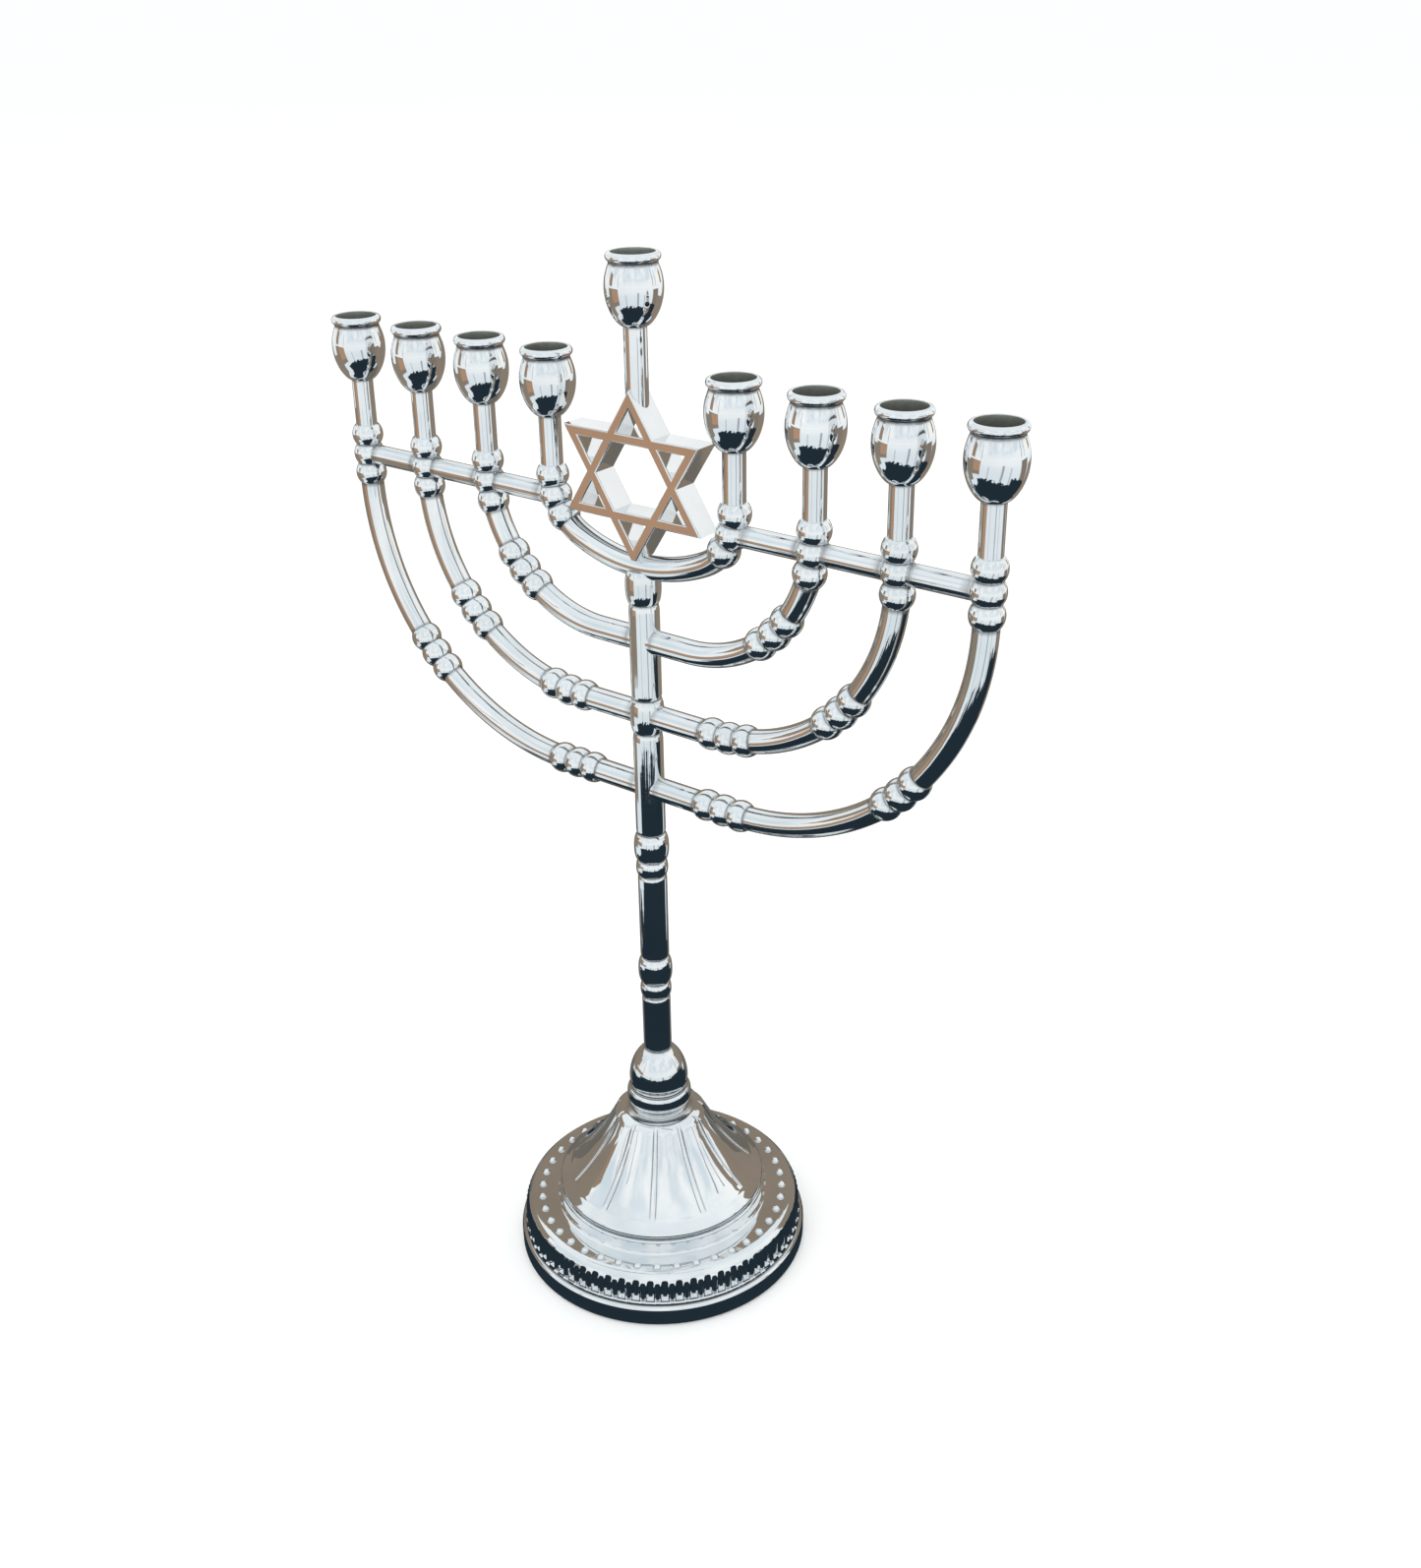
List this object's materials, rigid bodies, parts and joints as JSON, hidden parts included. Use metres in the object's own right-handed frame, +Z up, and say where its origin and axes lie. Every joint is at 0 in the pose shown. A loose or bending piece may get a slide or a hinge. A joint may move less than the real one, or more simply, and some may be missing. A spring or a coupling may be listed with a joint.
{
  "type": "nine-branched menorah",
  "caption": "Free-standing candelabrum with curved arms in one plane, removable egg-shaped candle cups, an openwork star under the raised middle cup, and a round beaded foot.",
  "frame": {"origin": "centre of the foot on the table", "axes": "+X along the row of cups, -Y towards the front, +Z up along the stem"},
  "size_m": [0.2172, 0.089, 0.3015],
  "materials": {
    "bright_plate": "mirror-bright nickel or chrome plate on cast and turned metal",
    "cup_plate": "mirror-bright plate outside, duller inside the candle well",
    "star_plate": "mirror-bright plate with flat polished bands",
    "clamp_steel": "plain zinc-plated steel"
  },
  "bodies": {
    "foot": {"base_plate": "bright_plate", "dome": "bright_plate", "collar_ring": "bright_plate"},
    "candelabrum": {"tie_rod": "clamp_steel", "clamp_washer": "clamp_steel", "clamp_nut": "clamp_steel", "ball_knop": "bright_plate", "lower_stem": "bright_plate", "lower_bead_collar": "bright_plate", "middle_stem": "bright_plate", "upper_bead_collar": "bright_plate", "branch_column": "bright_plate", "middle_knop": "bright_plate", "upper_column": "bright_plate", "top_knop": "bright_plate", "inner_arm": "bright_plate", "star": "star_plate", "shamash_riser": "bright_plate", "left_crossbar": "bright_plate", "right_crossbar": "bright_plate", "left_short_arm": "bright_plate", "left_middle_arm": "bright_plate", "left_outer_arm": "bright_plate", "right_short_arm": "bright_plate", "right_middle_arm": "bright_plate", "right_outer_arm": "bright_plate", "knot_left_1": "bright_plate", "knot_left_2": "bright_plate", "knot_left_3": "bright_plate", "knot_left_4": "bright_plate", "knot_right_1": "bright_plate", "knot_right_2": "bright_plate", "knot_right_3": "bright_plate", "knot_right_4": "bright_plate", "riser_left_1": "bright_plate", "riser_left_2": "bright_plate", "riser_left_3": "bright_plate", "riser_left_4": "bright_plate", "riser_right_1": "bright_plate", "riser_right_2": "bright_plate", "riser_right_3": "bright_plate", "riser_right_4": "bright_plate"},
    "cup_left_1": {"cup_left_1": "cup_plate"},
    "cup_left_2": {"cup_left_2": "cup_plate"},
    "cup_left_3": {"cup_left_3": "cup_plate"},
    "cup_left_4": {"cup_left_4": "cup_plate"},
    "cup_right_1": {"cup_right_1": "cup_plate"},
    "cup_right_2": {"cup_right_2": "cup_plate"},
    "cup_right_3": {"cup_right_3": "cup_plate"},
    "cup_right_4": {"cup_right_4": "cup_plate"},
    "shamash_cup": {"shamash_cup": "cup_plate"}
  },
  "joints": [
    {"name": "candelabrum_turn", "type": "hinge", "parent": "foot", "child": "candelabrum", "pos_m": [0, 0, 0.057], "axis": [0, 0, 1], "continuous": true},
    {"name": "cup_left_1_lift", "type": "slide", "parent": "candelabrum", "child": "cup_left_1", "axis": [0, 0, 1], "range_m": [0, 0.012]},
    {"name": "cup_left_2_lift", "type": "slide", "parent": "candelabrum", "child": "cup_left_2", "axis": [0, 0, 1], "range_m": [0, 0.012]},
    {"name": "cup_left_3_lift", "type": "slide", "parent": "candelabrum", "child": "cup_left_3", "axis": [0, 0, 1], "range_m": [0, 0.012]},
    {"name": "cup_left_4_lift", "type": "slide", "parent": "candelabrum", "child": "cup_left_4", "axis": [0, 0, 1], "range_m": [0, 0.012]},
    {"name": "cup_right_1_lift", "type": "slide", "parent": "candelabrum", "child": "cup_right_1", "axis": [0, 0, 1], "range_m": [0, 0.012]},
    {"name": "cup_right_2_lift", "type": "slide", "parent": "candelabrum", "child": "cup_right_2", "axis": [0, 0, 1], "range_m": [0, 0.012]},
    {"name": "cup_right_3_lift", "type": "slide", "parent": "candelabrum", "child": "cup_right_3", "axis": [0, 0, 1], "range_m": [0, 0.012]},
    {"name": "cup_right_4_lift", "type": "slide", "parent": "candelabrum", "child": "cup_right_4", "axis": [0, 0, 1], "range_m": [0, 0.012]},
    {"name": "shamash_cup_lift", "type": "slide", "parent": "candelabrum", "child": "shamash_cup", "axis": [0, 0, 1], "range_m": [0, 0.012]}
  ]
}
